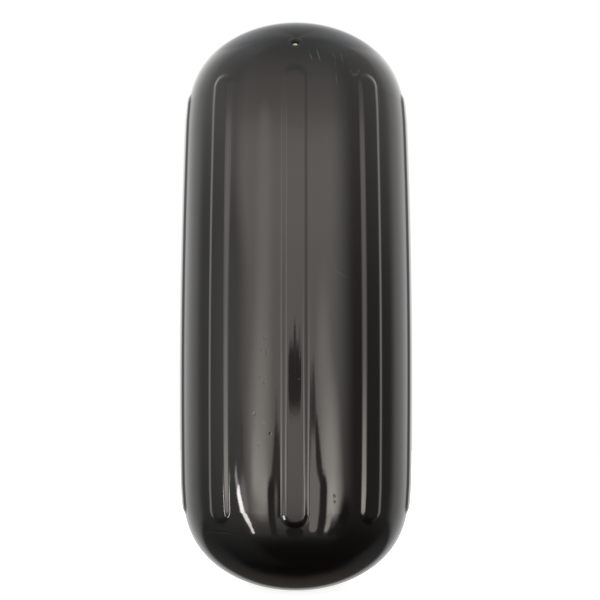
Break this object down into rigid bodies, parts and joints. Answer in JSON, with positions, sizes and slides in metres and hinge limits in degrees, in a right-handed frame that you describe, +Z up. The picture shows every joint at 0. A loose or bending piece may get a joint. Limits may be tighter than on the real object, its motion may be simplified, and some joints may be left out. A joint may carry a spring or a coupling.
{
  "type": "boat fender",
  "caption": "Inflatable cylindrical boat fender with domed ends, raised upright ribs, a rope hole through its middle and a needle inflation valve in one shoulder.",
  "frame": {"origin": "middle of the lower rim, on the surface that the fender stands on", "axes": "+Z up along the rope hole; the valve faces -Y"},
  "size_m": [0.2132, 0.2162, 0.516],
  "materials": {
    "gloss_vinyl": "smooth high-gloss moulded black vinyl with light handling scratches",
    "valve_rubber": "matte off-white rubber"
  },
  "bodies": {
    "root": {"fender_body": "gloss_vinyl", "needle_valve": "valve_rubber"}
  },
  "joints": []
}
